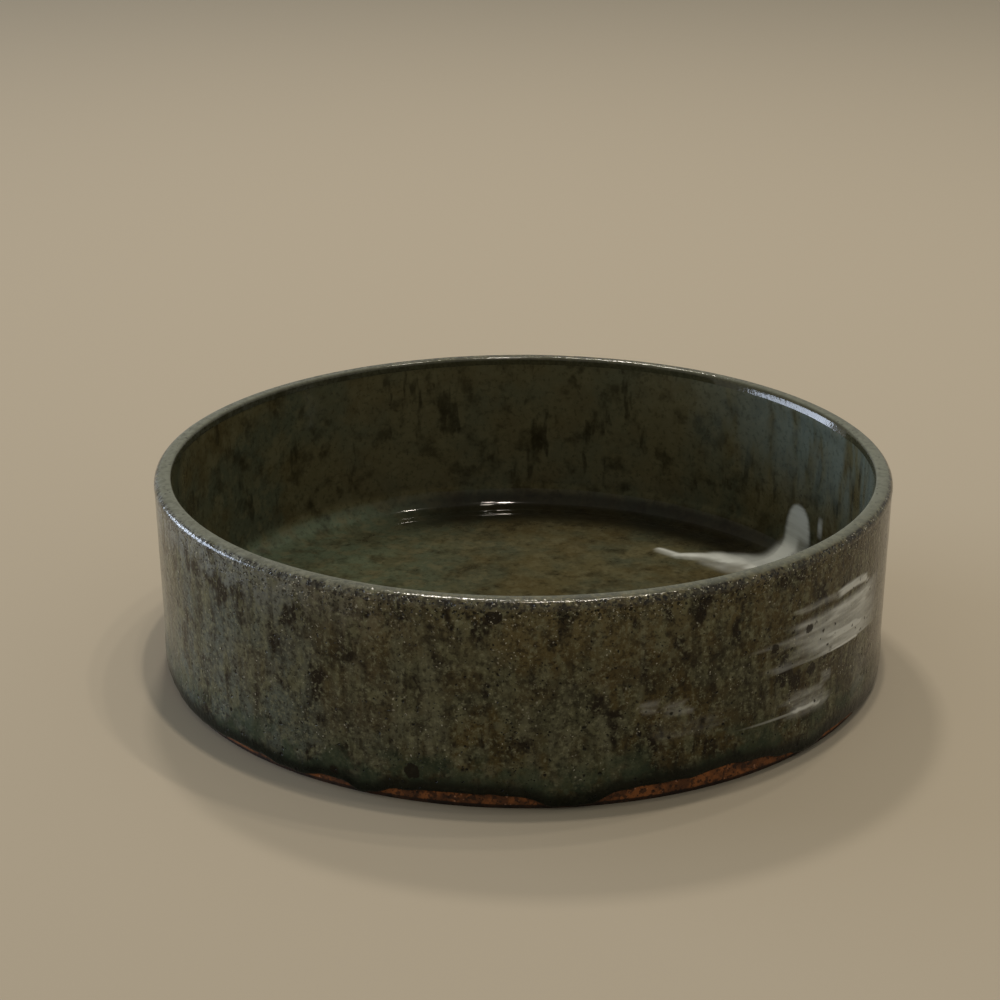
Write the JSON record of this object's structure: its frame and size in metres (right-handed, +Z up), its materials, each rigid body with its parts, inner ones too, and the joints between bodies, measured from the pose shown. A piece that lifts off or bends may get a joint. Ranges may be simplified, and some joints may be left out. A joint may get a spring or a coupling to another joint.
{
  "type": "ikebana suiban",
  "caption": "Low round stoneware flower basin with straight walls, ash glaze, brushed white slip and a bare foot, for standing a flower holder in water.",
  "frame": {"origin": "centre of the foot's resting plane", "axes": "+Z up out of the mouth, -Y the front that shows the brushed slip at its right"},
  "size_m": [0.25, 0.25, 0.068],
  "materials": {
    "stoneware_clay": "fired, bare",
    "white_slip": "brushed, glazed over",
    "outside_ash_glaze": "glossy, speckled",
    "lip_ash_glaze": "satin, thin",
    "inside_ash_glaze": "glossy, speckled"
  },
  "bodies": {
    "root": {"base_slab": "stoneware_clay", "wall_band": "stoneware_clay", "corner_coil": "stoneware_clay", "outside_slip_strokes": "white_slip", "inside_slip_splash": "white_slip", "outside_glaze": "outside_ash_glaze", "lip_glaze": "lip_ash_glaze", "inside_glaze": "inside_ash_glaze"}
  },
  "joints": []
}
